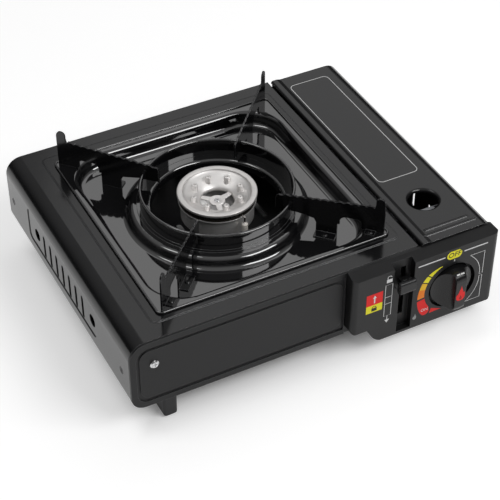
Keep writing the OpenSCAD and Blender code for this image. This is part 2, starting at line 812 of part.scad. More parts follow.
module burner_base()
    color(bright_steel) place()
    difference() {
        at_burner()
            rotate_extrude($fn = 96)
                polygon([[cup_r - 1, z_ports - 1.2], [cup_r - 1, z_top - 15], [11, z_top - 31], [10, z_top - 31],
                         [10, mix_z - 9], [0, mix_z - 9], [0, mix_z - 10], [11, mix_z - 10],
                         [11, z_top - 32], [cup_r, z_top - 16], [cup_r, z_ports - 1.2],
                         [34.6, z_ports - 1.2], [34.6, z_ports], [28, z_ports], [28, z_ports - 1.2]]);
        on_mix_line() cylinder(h = 20, r = mix_r + 0.05);
    }

module burner_port_ring()
    color([0.16, 0.15, 0.14]) place() at_burner()
        difference() {
            along_z(z_ports, z_ports + 5.4)
                difference() {
                    circle(34.2, $fn = 96);
                    circle(30, $fn = 96);
                }
            for (i = [0:port_count - 1])
                rotate(i * 360 / port_count)
                    translate([29, -0.55, z_ports + 1.6]) cube([7, 1.1, 2.9]);
        }

// A dished alloy disc with a raised rim, a drawn centre hole and a ring of bosses
module burner_cap()
    color(pale_alloy) place() at_burner()
        difference() {
            union() {
                rotate_extrude($fn = 96)
                    polygon([[cap_r - 0.6, z_cap], [cap_r, z_cap - 0.6], [cap_r, z_cap - 2.7], [28.5, z_cap - 2.7],
                             [16.6, z_cap - 7.6], [16.4, z_cap - 9.6], [15, z_cap - 9.6], [15, z_cap - 6.9],
                             [16, z_cap - 5.8], [30, z_cap - 1.1], [31, z_cap - 1.1], [31.6, z_cap]]);
                for (a = [22.5:45:337.5])
                    rotate(a) translate([21, 0, z_cap - 6]) {
                        cylinder(h = 3.9, r = 2.2, $fn = 32);
                        translate([0, 0, 3.9]) cylinder(h = 0.7, r1 = 2.2, r2 = 1.5, $fn = 32);
                    }
            }
            for (a = [22.5:45:337.5])
                rotate(a) translate([21, 0, z_cap - 3.4]) cylinder(h = 3, r = 0.8, $fn = 24);
        }

module burner_spider()
    color(pale_alloy) place() at_burner()
        difference() {
            along_z(z_cap - 9.4, z_cap - 7.4)
                union() {
                    circle(7);
                    for (a = [40, 160, 280]) rotate(a) box2(0, -2.4, 14.75, 2.4);
                }
            translate([0, 0, z_cap - 10]) cylinder(h = 4, r = 2);
        }

module burner_screw()
    color(bright_steel) place() at_burner()
        translate([0, 0, z_cap - 7.4]) pan_screw(3.2, 1.4, 1.95, 12);

module burner_bracket()
    color(zinc) place() at_burner()
        difference() {
            union() {
                along_z(mix_z + 12, mix_z + 13.2)
                    union() {
                        box2(-44, -10, 44, 10);
                        circle(17);
                    }
                for (s = [-1, 1]) {
                    along_z(z_base + 2 * sheet, mix_z + 13.2) box2(s * 44 - 0.6, -10, s * 44 + 0.6, 10);
                    along_z(z_base + 2 * sheet, z_base + 2 * sheet + 1.2)
                        box2(min(s * 44, s * 54), -10, max(s * 44, s * 54), 10);
                }
            }
            translate([0, 0, mix_z]) cylinder(h = 20, r = 11.05);
            for (s = [-1, 1]) translate([s * 49.5, 0, z_base]) cylinder(h = 6, r = 1.7);
            translate([0, 0, mix_z]) rotate(mix_turn) rotate([0, 90, 0]) cylinder(h = 80, r = mix_r + 1);
        }

module burner_bracket_screws()
    color(bright_steel) place() at_burner()
        for (s = [-1, 1]) translate([s * 49.5, 0, z_base + 2 * sheet + 1.2]) pan_screw(3.2, 1.6, 1.6, 3);

// ---------- ignition ----------

piezo_top = z_knob - cam_r0 - 4.3;

module piezo_igniter()
    color(black_plastic) place()
    difference() {
        union() {
            along_z(z_bay + 3, piezo_top - 4) round2(knob_x - 6, 5, knob_x + 6, 19, 2);
            along_y(panel_face, 6) box2(knob_x - 10, z_bay + 6, knob_x + 10, z_bay + 14);
        }
        translate([knob_x, (cam_y0 + cam_y1) / 2, piezo_top - 12]) cylinder(h = 14, r = 3.05);
    }

module igniter_plunger()
    color([0.75, 0.12, 0.1]) place()
    translate([knob_x, (cam_y0 + cam_y1) / 2, 0]) {
        translate([0, 0, piezo_top - 7.6]) cylinder(h = 10, r = 3);
        translate([0, 0, piezo_top + 0.8]) cylinder(h = 2.9, r = 4.2);
    }

elec_turn = -80;
elec_r = 40;
elec_x = burner_x + elec_r * cos(elec_turn);
elec_y = burner_y + elec_r * sin(elec_turn);

module electrode()
    color([0.92, 0.9, 0.86]) place()
    translate([elec_x, elec_y, 0]) {
        translate([0, 0, z_top - 30]) cylinder(h = z_ports - z_top + 26.4, r = 2.8);
        translate([0, 0, z_ports - 3.61]) cylinder(h = 2, r1 = 2.8, r2 = 1.4);
        translate([0, 0, z_ports - 1.7]) cylinder(h = 5.7, r = 0.75);
        rotate(elec_turn + 180) translate([-0.4, 0, z_ports + 3.3]) rotate([0, 90, 0]) cylinder(h = 4.1, r = 0.6);
    }

module electrode_bracket()
    color(zinc) place()
    difference() {
        union() {
            translate([burner_x, burner_y, 0]) rotate(elec_turn)
                along_z(z_top - 22, z_top - 20.8) box2(24, -5, 46, 5);
            translate([burner_x, burner_y, 0]) rotate(elec_turn)
                along_z(z_top - 32, z_top - 20.8) box2(23, -5, 24.2, 5);
        }
        translate([elec_x, elec_y, z_top - 30]) cylinder(h = 20, r = 2.85);
        at_burner() rotate_extrude() polygon([[0, z_top - 40], [11, z_top - 32], [cup_r + 0.1, z_top - 16], [0, z_top - 16]]);
    }

// The ignition lead's route, from the igniter through the partition to the electrode
lead_route = [
    [292.8, 14, 22], [288, 14, 22], [282, 17, 24], [276, 23, 29], [271, 28, 33], [265, 30, 34], [256, 32, 33],
    [238, 40, 32], [214, 52, 32], [192, 65, 32], [172, 79, 34], [160, 90, 40], [155, 96, 48], [153.6, 97.6, 56],
    [153.45, 97.6, 65.9]
];
lead_r = 1.2;
lead_sides = 8;

function unit(v) = v / norm(v);
function lead_dir(i) = unit(lead_route[min(i + 1, len(lead_route) - 1)] - lead_route[max(i - 1, 0)]);
function lead_side(d) = unit(cross(d, abs(d[2]) > 0.8 ? [1, 0, 0] : [0, 0, 1]));
function lead_ring(i) = let (d = lead_dir(i), u = unit(cross(d, [0.3, 1, 0.2])), v = cross(d, u))
    [for (k = [0:lead_sides - 1])
        lead_route[i] + lead_r * (cos(k * 360 / lead_sides) * u + sin(k * 360 / lead_sides) * v)];

module ignition_lead() {
    rings = len(lead_route);
    points = [for (i = [0:rings - 1]) each lead_ring(i)];
    walls = [for (i = [0:rings - 2], k = [0:lead_sides - 1])
        [i * lead_sides + k, i * lead_sides + (k + 1) % lead_sides,
         (i + 1) * lead_sides + (k + 1) % lead_sides, (i + 1) * lead_sides + k]];
    first = [[for (k = [lead_sides - 1:-1:0]) k]];
    last = [[for (k = [0:lead_sides - 1]) (rings - 1) * lead_sides + k]];
    color(rubber) place() polyhedron(points, concat(walls, first, last), convexity = 6);
}

// ---------- lid ----------

lid_x0 = seam_x + 1.5;
lid_border = 6;
lid_r = 14;
hole_x = 305.5;
hole_y = 50.7;
lid_front = -1.5;
lid_back = back_y - ear_gap;
skirt_z = hinge_z + 5;

// The lid from the front: a raised border on the left, a flat top and a rounded drop to the right skirt
module lid_outline(d)
    difference() {
        polygon([[lid_x0 + d, z_top - 20], [lid_x0 + d, z_lid - d], [lid_x0 + lid_border - d * 0.12, z_lid - d],
                 [lid_x0 + lid_border + 4 - d * 0.12, z_face - d], [body_w - d, z_face - d],
                 [body_w - d, z_top - 60], [lid_x0 + 30, z_top - 60]]);
        corner2(lid_x0 + d, z_lid - d, 1, -1, 2 - d);
        corner2(body_w - d, z_face - d, -1, -1, lid_r - d);
    }

module lid_skin(y0, y1)
    along_y(y0, y1)
        difference() {
            lid_outline(0);
            lid_outline(sheet);
            box2(lid_x0 - 5, z_top - 80, body_w - lid_r - 3, z_top + 0.6);
            box2(body_w - 4, z_top - 80, body_w + 1, skirt_z);
        }

// The end plates close the lid and reach down to the hinge pins
module lid_end(y0)
    along_y(y0, y0 + ear_t)
        difference() {
            intersection() {
                lid_outline(0.3);
                union() {
                    box2(lid_x0 + 1, z_top - 4, body_w, z_lid);
                    difference() {
                        box2(hinge_x - 6, hinge_z - 4, body_w, z_lid);
                        corner2(hinge_x - 6, hinge_z - 4, 1, 1, 3.9);
                        corner2(body_w, hinge_z - 4, -1, 1, 3.5);
                    }
                }
            }
            translate([hinge_x, hinge_z]) circle(hinge_pin_r + 0.05);
        }

module lid()
    color(black_satin) place()
    difference() {
        union() {
            lid_skin(ear_y0, lid_back);
            intersection() {
                lid_skin(lid_front, ear_y0 + 1);
                translate([lid_x0 - 1, lid_front - 1, z_top + 0.6]) cube([100, 20, 30]);
            }
            along_y(lid_front, lid_front + sheet)
                intersection() {
                    lid_outline(0);
                    box2(lid_x0, z_top + 1, body_w - 4, z_lid + 1);
                }
            lid_end(ear_y0);
            lid_end(ear_y1);
            translate([hole_x, hole_y, 0])
                rotate_extrude()
                    union() {
                        bend2(16.4, z_face - 3, 2, 3, -1, 1);
                        box2(16.3, z_face - 1, 18, z_face);
                    }
            for (r = [[15, 284, 326], [8.7, 278, 331]])
                translate([0, r[0] - 1, z_face - 0.9]) {
                    rotate([0, 90, 0]) translate([0, 0, r[1]]) cylinder(h = r[2] - r[1], r = 1.8);
                    for (x = [r[1], r[2]]) translate([x, 0, 0]) sphere(r = 1.8, $fn = 32);
                }
        }
        translate([hole_x, hole_y, z_face - 8]) cylinder(h = 20, r = 13.4);
        translate([hole_x, hole_y, z_face - 8])
            difference() {
                cylinder(h = 8 + eps, r = 16.4);
                translate([0, 0, -1]) cylinder(h = 6, r = 30);
                translate([0, 0, 5]) rotate_extrude() bend2(16.4, 0, 2, 3, -1, 1);
            }
    }

module lid_hinge_pins()
    color(bright_steel) place() {
        rod_y(hinge_x, hinge_z, hinge_pin_r, panel_sheet, trough_y0 + 1);
        rod_y(hinge_x, hinge_z, hinge_pin_r, trough_y1 - 1, back_y + sheet);
        for (y = [trough_y0 + 0.4, trough_y1 - 1.4]) rod_y(hinge_x, hinge_z, 1.9, y, y + 1);
    }

// ---------- drip tray and pan supports ----------

module at_tray() translate([burner_x, burner_y, z_tray]) children();

corner_x = tray_hx - dish_inset - dish_r;
corner_y = tray_hy - dish_inset - dish_r;
wall_u = dish_r - bend_r;

// The dish wall in section: down over one bend, straight, and out over another
module dish_section() {
    bend2(dish_r, -bend_r, bend_r - tray_sheet, bend_r, -1, 1);
    box2(wall_u, -dish_depth + bend_r, wall_u + tray_sheet, -bend_r);
    bend2(wall_u - bend_r, -dish_depth + bend_r, bend_r, bend_r + tray_sheet, 1, -1);
}

// The raised collar round the burner well in section
module hump_section() {
    s = hump_rise / 2;
    bend2(hump_r + 2 * s, -dish_depth + s, s, s + tray_sheet, -1, -1);
    bend2(hump_r, -dish_depth + s, s - tray_sheet, s, 1, 1);
    box2(well_r + 3, -dish_depth + hump_rise - tray_sheet, hump_r, -dish_depth + hump_rise);
    bend2(well_r + 3, -dish_depth + hump_rise - 3, 3 - tray_sheet, 3, -1, 1);
    box2(well_r, -dish_depth + hump_rise - 8, well_r + tray_sheet, -dish_depth + hump_rise - 3);
}

module drip_tray()
    color(black_gloss) place() at_tray() {
        along_z(-tray_sheet, 0)
            difference() {
                round2(-tray_hx, -tray_hy, tray_hx, tray_hy, 5);
                round2(-tray_hx + dish_inset, -tray_hy + dish_inset, tray_hx - dish_inset, tray_hy - dish_inset, dish_r);
            }
        sweep_round(corner_x, corner_y) dish_section();
        sweep_round(tray_hx - 5, tray_hy - 5) translate([4.5, 0.3]) circle(1, $fn = 24);
        along_z(-dish_depth - tray_sheet, -dish_depth)
            difference() {
                round2(-corner_x - wall_u + bend_r, -corner_y - wall_u + bend_r,
                       corner_x + wall_u - bend_r, corner_y + wall_u - bend_r, wall_u - bend_r);
                circle(hump_r + hump_rise);
            }
        rotate_extrude($fn = 96) hump_section();
    }

module support_ring()
    color(black_gloss) place() at_tray()
        difference() {
            rotate_extrude($fn = 96) {
                box2(ring_r - ring_sheet, -dish_depth + hump_rise, ring_r, ring_top);
                translate([ring_r - ring_sheet / 2, ring_top]) circle(1.5, $fn = 24);
                box2(ring_r - ring_sheet, -dish_depth + hump_rise, ring_r + 3, -dish_depth + hump_rise + 1);
            }
            for (a = arm_turns)
                rotate(a) translate([ring_r - 5, -arm_sheet / 2 - 0.05, ring_lap]) cube([10, arm_sheet + 0.1, 20]);
        }

tooth_from = 141.5;
tooth_to = 60;
tooth_h = 1.8;
tooth_drop = 0.62;
nose_top = support_rise - tooth_count * tooth_drop - 0.8;
tooth_pitch = (tooth_from - tooth_to) / tooth_count;

// One arm from the side: horn, toothed edge falling inwards, arch between two feet, nose over the ring
module arm_profile()
    difference() {
        union() {
            polygon(concat(
                [[arm_out, 0], [arm_out, horn_rise - horn_w / 2], [arm_out - horn_w, horn_rise - horn_w / 2],
                 [arm_out - horn_w, support_rise + 2], [tooth_from + 0.5, support_rise - tooth_h]],
                [for (i = [0:tooth_count - 1], k = [0:2])
                    [tooth_from - (i + [0.15, 0.5, 1][k]) * tooth_pitch,
                     support_rise - (k == 2 ? tooth_h : 0) - i * tooth_drop]],
                [[arm_in + 3, nose_top], [arm_in + 1, nose_top - 1], [arm_in, nose_top - 3], [arm_in, 3.5],
                 [ring_r + 6, 3.5], [foot_in0 - 2, 0.8], [foot_in0, -3], [foot_in0, -dish_depth],
                 [foot_in1, -dish_depth], [foot_in1, 0], [foot_out0, 0]]));
            translate([arm_out - horn_w / 2, horn_rise - horn_w / 2]) circle(horn_w / 2);
        }
        difference() {
            box2(foot_in1 + 2, -1, foot_out0, 9);
            corner2(foot_in1 + 2, 9, 1, -1, 6);
            corner2(foot_out0, 9, -1, -1, 3);
        }
        box2(ring_r - ring_sheet - 0.1, 0, ring_r + 0.1, ring_lap);
    }

module pan_support(turn, side)
    color(black_gloss) place() at_tray() rotate(turn) mirror([0, side < 0 ? 1 : 0, 0])
        difference() {
            union() {
                along_y(-arm_sheet / 2, arm_sheet / 2) arm_profile();
                along_z(-dish_depth, -dish_depth + 1.2) round2(foot_in0, -0.8, foot_in1, 9, 0.79);
                along_z(0, 1.2) round2(ledge_foot[0], -0.8, ledge_foot[1], 7.2, 0.79);
            }
            translate([(foot_in0 + foot_in1) / 2, 5, -dish_depth - 1]) cylinder(h = 4, r = 1.5);
            translate([140, 4.2, -1]) cylinder(h = 4, r = 1.5);
        }

module support_front_left() pan_support(arm_turns[2], 1);
module support_front_right() pan_support(arm_turns[3], -1);
module support_back_left() pan_support(arm_turns[1], -1);
module support_back_right() pan_support(arm_turns[0], 1);

module support_rivets()
    color(black_gloss) place() at_tray()
        for (i = [0:3])
            rotate(arm_turns[i]) mirror([0, i % 2, 0]) {
                translate([(foot_in0 + foot_in1) / 2, 5, -dish_depth]) {
                    cylinder(h = 1.2, r = 1.45);
                    translate([0, 0, 1.2]) cylinder(h = 1, r1 = 2.6, r2 = 1.6);
                }
                translate([140, 4.2, 0]) {
                    cylinder(h = 1.2, r = 1.45);
                    translate([0, 0, 1.2]) cylinder(h = 1, r1 = 2.6, r2 = 1.6);
                }
            }

// ---------- drawing ----------

body_shell();
front_panel();
back_panel();
base_plate();
bay_trough();
partition();
foot_front_left();
foot_back_left();
foot_front_right();
foot_back_right();
foot_pads();
front_panel_screws();
side_screws();
back_panel_screws();
base_screws();
control_panel();
control_panel_screws();
knob();
knob_spindle();
lever_bracket();
lever_pivot();
lock_lever();
lever_cap();
valve_bracket();
regulator_body();
regulator_cover();
regulator_screws();
inlet_nozzle();
inlet_seal();
canister_guide();
canister_carriage();
carriage_pad();
injector();
mixing_tube();
air_shutter();
burner_base();
burner_port_ring();
burner_cap();
burner_spider();
burner_screw();
burner_bracket();
burner_bracket_screws();
piezo_igniter();
igniter_plunger();
ignition_lead();
electrode();
electrode_bracket();
lid();
lid_hinge_pins();
drip_tray();
support_ring();
support_front_left();
support_front_right();
support_back_left();
support_back_right();
support_rivets();
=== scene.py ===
"""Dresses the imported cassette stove: finishes, printed marks, burner top, studio and camera.

Lengths in the tables are millimetres in the working frame of the part: X from the left wall,
Y from the face of the front panel, Z from the ground. at() turns them into row metres.
"""
import json
import math

import bmesh
import bpy
from mathutils import Matrix, Vector


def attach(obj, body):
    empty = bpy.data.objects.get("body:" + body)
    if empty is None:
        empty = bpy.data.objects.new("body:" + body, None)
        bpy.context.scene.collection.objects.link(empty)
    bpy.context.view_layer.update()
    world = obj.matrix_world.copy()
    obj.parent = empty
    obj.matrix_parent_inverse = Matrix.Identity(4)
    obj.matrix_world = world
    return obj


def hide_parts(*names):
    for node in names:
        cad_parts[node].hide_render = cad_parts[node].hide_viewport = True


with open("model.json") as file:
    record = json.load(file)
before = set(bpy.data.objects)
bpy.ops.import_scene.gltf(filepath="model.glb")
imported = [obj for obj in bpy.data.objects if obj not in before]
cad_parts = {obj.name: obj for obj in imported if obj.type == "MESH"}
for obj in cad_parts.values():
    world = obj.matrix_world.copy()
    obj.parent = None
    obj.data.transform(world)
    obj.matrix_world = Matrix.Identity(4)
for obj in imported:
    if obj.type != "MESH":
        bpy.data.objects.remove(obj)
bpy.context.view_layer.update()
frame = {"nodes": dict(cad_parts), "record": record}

BODY_W = 345.0
Y_MID = 124.5          # middle of the whole part, knob included
PANEL_FACE = -12.0     # Y of the control panel's front
KNOB_FACE = -26.0      # Y of the grip bar's front
Z_TOP = 96.0           # top plate
Z_LID = 98.4           # lid's upper face
KNOB = (299.0, 50.5)   # X and Z of the knob's axis
GRIP_ROUND = 7.0       # radius of the grip bar's rounded upper end
GRIP_FLAT = 14.0       # from the knob's axis up to where that rounding starts
MARK_RISE = 0.07       # height of a printed mark over its surface
OVER_PRINT = 2 * MARK_RISE     # lift of a mark that lies on another one
OVER_FLAME = 0.03      # the same for the core of the knob's flame
ARROW = [(-2.4, 0), (2.4, 0), (0, 3.6)]

BURNER = (146.5, 137.0)
Z_CAP = 105.9          # burner cap's rim
BOSSES = 8
BOSS_RING = 21.6       # radius of the circle that they stand on
BOSS_TURN = -5.0
SPIDER_ARMS = 3
SPIDER_TURN = 15.0
SMOOTH_BELOW = 32      # degrees: flatter edges of the burner top are shaded smooth

# Tones that a finish takes on its edges, from wear and as a painted highlight, in dust and in grime
WORN_AND_HIGHLIT_ENAMEL = (0.26, 0.26, 0.27)
WORN_AND_HIGHLIT_PAINT = (0.18, 0.18, 0.185)
EDGE_WEAR_AND_HIGHLIGHT = 0.6        # how far a painted edge goes towards its lighter tone of wear and painted highlight
EDGE_PAINTED_HIGHLIGHT = 9.0       # how much lighter a moulding's edges are than its faces, as a painted highlight
DUST_SPECK = (0.35, 0.35, 0.36)
DUST_FILM = (0.2, 0.19, 0.18)
GRIME = (0.16, 0.15, 0.14)
HEAT_TINT = (0.62, 0.5, 0.4)
GLAZE = (0.86, 0.83, 0.78)
GLAZE_STAIN = (0.7, 0.62, 0.5)
BARE_WIRE = (0.55, 0.52, 0.5)

# Stage, in metres and in strengths where 1 is white
FLOOR_SIZE = 30
FLOOR_GREY = 0.9
FLOOR_GLOW = 0.4
FOOTPRINT = (0.17, 0.135)      # half the width and depth of the floor under the stove
GLOW_FADE = (-0.05, 0.01)      # where it starts and ends to grow, outwards from that edge
ROOM_LOW = 0.03
ROOM_HIGH = 0.45
ROOM_RISE = (0.25, 0.9)        # sine of the elevation where the room starts and ends to lighten


def at(x, y, z):
    """A point of the working frame, in row metres."""
    return Vector(((x - BODY_W / 2) / 1000, (y - Y_MID) / 1000, z / 1000))


# ---------- materials ----------


def math_node(tree, operation, a, b=0.0):
    """The result of a maths node; a and b are sockets or numbers."""
    made = tree.nodes.new("ShaderNodeMath")
    made.operation = operation
    for i, value in enumerate((a, b)):
        if isinstance(value, (int, float)):
            made.inputs[i].default_value = value
        else:
            tree.links.new(value, made.inputs[i])
    return made.outputs["Value"]


def map_range(tree, source, low, high, out_low=0.0, out_high=1.0, curve="LINEAR"):
    """source between low and high, spread over out_low to out_high and clamped."""
    made = tree.nodes.new("ShaderNodeMapRange")
    made.interpolation_type = curve
    made.inputs["From Min"].default_value = low
    made.inputs["From Max"].default_value = high
    made.inputs["To Min"].default_value = out_low
    made.inputs["To Max"].default_value = out_high
    tree.links.new(source, made.inputs["Value"])
    return made.outputs["Result"]


class Finish:
    """A material's node tree with its Principled shader, in object coordinates (metres)."""

    def __init__(self, name, colour, rough, metal=0.0, spec=0.5):
        self.mat = bpy.data.materials.new(name)
        self.mat.use_nodes = True
        self.tree = self.mat.node_tree
        self.bsdf = self.tree.nodes["Principled BSDF"]
        self.set("Base Color", (*colour, 1))
        self.set("Roughness", rough)
        self.set("Metallic", metal)
        self.set("Specular IOR Level", spec)
        self.coords = self.node("ShaderNodeTexCoord").outputs["Object"]

    def node(self, kind, **values):
        made = self.tree.nodes.new(kind)
        for key, value in values.items():
            setattr(made, key, value)
        return made

    def set(self, socket, value):
        self.bsdf.inputs[socket].default_value = value

    def link(self, source, target):
        self.tree.links.new(source, target)

    def scaled(self, scale):
        """Object coordinates, scaled per axis."""
        mapping = self.node("ShaderNodeMapping")
        mapping.inputs["Scale"].default_value = scale
        self.link(self.coords, mapping.inputs["Vector"])
        return mapping.outputs["Vector"]

    def noise(self, scale, detail=2.0, rough=0.5, vector=None):
        """Noise of about 1 / scale metres, in object coordinates unless vector is given."""
        made = self.node("ShaderNodeTexNoise")
        made.inputs["Scale"].default_value = scale
        made.inputs["Detail"].default_value = detail
        made.inputs["Roughness"].default_value = rough
        self.link(self.coords if vector is None else vector, made.inputs["Vector"])
        return made.outputs["Fac"]

    def cells(self, scale, feature="F1"):
        """Distance to the middle of cells of about 1 / scale metres."""
        made = self.node("ShaderNodeTexVoronoi", feature=feature)
        made.inputs["Scale"].default_value = scale
        self.link(self.coords, made.inputs["Vector"])
        return made.outputs["Distance"]

    def axes(self, vector):
        """The X, Y and Z of a vector, by their letters."""
        made = self.node("ShaderNodeSeparateXYZ")
        self.link(vector, made.inputs["Vector"])
        return made.outputs

    def ramp(self, source, low, high, out_low=0.0, out_high=1.0):
        return map_range(self.tree, source, low, high, out_low, out_high)

    def math(self, operation, a, b=0.0):
        return math_node(self.tree, operation, a, b)

    def mix(self, factor, a, b):
        """A colour between a and b; either may be a socket or an RGB triple."""
        made = self.node("ShaderNodeMix", data_type="RGBA")
        self.link(factor, made.inputs[0])
        # The node's colour sockets are inputs 6 and 7 and output 2
        for index, value in ((6, a), (7, b)):
            if isinstance(value, tuple):
                made.inputs[index].default_value = (*value, 1)
            else:
                self.link(value, made.inputs[index])
        return made.outputs[2]

    def tint(self, tone, colour, mask, weight):
        """tone, taken towards colour by weight where the mask is 1."""
        return self.mix(self.math("MULTIPLY", mask, weight), tone, colour)

    def colour_from(self, socket):
        self.link(socket, self.bsdf.inputs["Base Color"])

    def rough_from(self, socket):
        self.link(socket, self.bsdf.inputs["Roughness"])

    def bump(self, height, strength, distance=0.0002, bevel=0.0004):
        """Bump from a height socket, on top of a small rounding of the edges."""
        made = self.node("ShaderNodeBump")
        made.inputs["Strength"].default_value = strength
        made.inputs["Distance"].default_value = distance
        self.link(height, made.inputs["Height"])
        if bevel:
            self.link(self.edge_normal(bevel), made.inputs["Normal"])
        self.link(made.outputs["Normal"], self.bsdf.inputs["Normal"])

    def edge_normal(self, radius):
        """The surface's normal with every edge rounded by radius."""
        made = self.node("ShaderNodeBevel", samples=6)
        made.inputs["Radius"].default_value = radius
        return made.outputs["Normal"]

    def edge_mask(self, radius=0.0006, low=0.02, high=0.3):
        """0 on flat faces, rising towards 1 on sharp edges."""
        geometry = self.node("ShaderNodeNewGeometry")
        dot = self.node("ShaderNodeVectorMath", operation="DOT_PRODUCT")
        self.link(self.edge_normal(radius), dot.inputs[0])
        self.link(geometry.outputs["Normal"], dot.inputs[1])
        return self.ramp(dot.outputs["Value"], 1 - low, 1 - high)


def lighter(colour, by):
    """colour times by, which darkens it where by is below 1."""
    return tuple(min(1.0, c * by) for c in colour)


def enamel(name, colour, rough, peel=0.10, spec=0.5, bevel=0.0008, ior=1.5):
    """Stoved enamel on steel: gloss, a faint orange peel, specks of dust, edges lightened by wear and
    by a painted highlight.
    """
    f = Finish(name, colour, rough, spec=spec)
    f.set("IOR", ior)
    speck = f.ramp(f.noise(2600, 1.0), 0.72, 0.8)
    haze = f.ramp(f.noise(26, 4.0, 0.6), 0.35, 0.75)
    tone = f.mix(haze, colour, lighter(colour, 1.4))
    tone = f.tint(tone, DUST_SPECK, speck, 0.06)
    # Lighter edges: partly wear, partly a painted highlight
    f.colour_from(f.tint(tone, WORN_AND_HIGHLIT_ENAMEL, f.edge_mask(), EDGE_WEAR_AND_HIGHLIGHT))
    clouded = f.ramp(haze, 0, 1, rough * 0.85, rough * 1.3)
    f.rough_from(f.math("ADD", clouded, f.math("MULTIPLY", speck, 0.1)))
    f.bump(f.noise(420, 2.0), peel, bevel=bevel)
    return f.mat


def powder(name, colour, rough):
    """Matt paint with a fine tooth and edges lightened by wear and by a painted highlight."""
    f = Finish(name, colour, rough, spec=0.3)
    patch = f.ramp(f.noise(18, 4.0, 0.6), 0.3, 0.75)
    tone = f.mix(patch, colour, lighter(colour, 1.35))
    # Lighter edges: partly wear, partly a painted highlight
    f.colour_from(f.tint(tone, WORN_AND_HIGHLIT_PAINT, f.edge_mask(), EDGE_WEAR_AND_HIGHLIGHT))
    f.rough_from(f.ramp(patch, 0, 1, rough * 0.92, rough * 1.12))
    f.bump(f.noise(900, 3.0, 0.65), 0.25)
    return f.mat


def moulding(name, colour, rough, depth=0.22, bevel=0.0006):
    """Injection-moulded plastic: a spark-eroded grain, a painted highlight on the edges, faint flow
    marks.
    """
    f = Finish(name, colour, rough, spec=0.33)
    flow = f.ramp(f.noise(30, 3.0, vector=f.scaled((1, 1, 0.35))), 0.3, 0.7)
    tone = f.mix(flow, colour, lighter(colour, 1.3))
    # Painted highlight: the edges are lightened towards a much lighter copy of the colour
    f.colour_from(f.tint(tone, lighter(colour, EDGE_PAINTED_HIGHLIGHT), f.edge_mask(0.0008), 0.5))
    f.rough_from(f.ramp(flow, 0, 1, rough * 0.92, rough * 1.1))
    f.bump(f.cells(1500, "SMOOTH_F1"), depth, 0.00012, bevel)
    return f.mat


def rubber(name, colour):
    """Matt rubber with a film of dust."""
    f = Finish(name, colour, 0.8, spec=0.3)
    dust = f.ramp(f.noise(140, 4.0, 0.65), 0.42, 0.72)
    f.colour_from(f.tint(colour, DUST_FILM, dust, 0.35))
    f.rough_from(f.ramp(dust, 0, 1, 0.72, 0.92))
    f.bump(f.noise(1300, 2.0), 0.3)
    return f.mat


def sheet_metal(name, colour, rough, spangle=0.0):
    """Rolled or plated steel: fine drawn lines, clouding and a little grime."""
    f = Finish(name, colour, rough, metal=1.0)
    lines = f.noise(700, 4.0, 0.7, f.scaled((1, 1, 30)))
    cloud = f.ramp(f.noise(45, 4.0, 0.6), 0.3, 0.75)
    tone = f.mix(cloud, lighter(colour, 0.82), colour)
    if spangle:
        flake = f.ramp(f.cells(170), 0.1, 0.7, 0, spangle)
        tone = f.mix(flake, tone, lighter(colour, 1.35))
    f.colour_from(f.tint(tone, GRIME, f.ramp(f.noise(90, 5.0, 0.7), 0.55, 0.8), 0.3))
    f.rough_from(f.ramp(lines, 0.3, 0.7, rough * 0.8, rough * 1.25))
    f.bump(lines, 0.12, 0.0001)
    return f.mat


def turned(name, colour, rough, heat=0.0, metal=1.0):
    """Metal turned about the burner's axis: fine rings, and a heat tint near the rim."""
    f = Finish(name, colour, rough, metal=metal)
    centre = at(*BURNER, 0)
    shift = f.node("ShaderNodeVectorMath", operation="SUBTRACT")
    f.link(f.coords, shift.inputs[0])
    shift.inputs[1].default_value = centre
    split = f.axes(shift.outputs["Vector"])
    squares = [f.math("POWER", split[axis], 2.0) for axis in "XY"]
    radius = f.math("SQRT", f.math("ADD", *squares))
    ring_coords = f.node("ShaderNodeCombineXYZ")
    f.link(radius, ring_coords.inputs["X"])
    f.link(f.math("MULTIPLY", split["Z"], 0.6), ring_coords.inputs["Y"])
    rings = f.noise(2600, 2.0, 0.6, ring_coords.outputs["Vector"])
    cloud = f.ramp(f.noise(70, 4.0, 0.6), 0.3, 0.75)
    tone = f.mix(cloud, lighter(colour, 0.88), colour)
    if heat:
        near_rim = f.ramp(radius, 0.026, 0.036)
        tone = f.tint(tone, HEAT_TINT, f.math("MULTIPLY", near_rim, cloud), heat)
    f.colour_from(tone)
    f.rough_from(f.ramp(rings, 0.3, 0.7, rough * 0.85, rough * 1.2))
    f.bump(rings, 0.10, 0.0001)
    return f.mat


def cast(name, colour, rough):
    """Die-cast metal: uneven tone and a coarse skin."""
    f = Finish(name, colour, rough, metal=1.0)
    patch = f.ramp(f.noise(60, 4.0, 0.6), 0.3, 0.75)
    f.colour_from(f.mix(patch, lighter(colour, 0.8), colour))
    f.rough_from(f.ramp(patch, 0, 1, rough * 0.9, rough * 1.15))
    f.bump(f.noise(800, 4.0, 0.7), 0.35)
    return f.mat


def glazed(name):
    """The electrode: a glazed ceramic sleeve with a bare steel wire out of its tip."""
    f = Finish(name, GLAZE, 0.22)
    f.set("Coat Weight", 0.4)
    f.set("Coat Roughness", 0.05)
    wire = f.ramp(f.axes(f.coords)["Z"], Z_TOP / 1000, (Z_TOP + 0.2) / 1000)
    sleeve = f.tint(GLAZE, GLAZE_STAIN, f.ramp(f.noise(300, 4.0), 0.4, 0.7), 0.4)
    f.colour_from(f.mix(wire, sleeve, BARE_WIRE))
    f.link(wire, f.bsdf.inputs["Metallic"])
    f.bump(f.noise(500, 2.0), 0.1)
    return f.mat


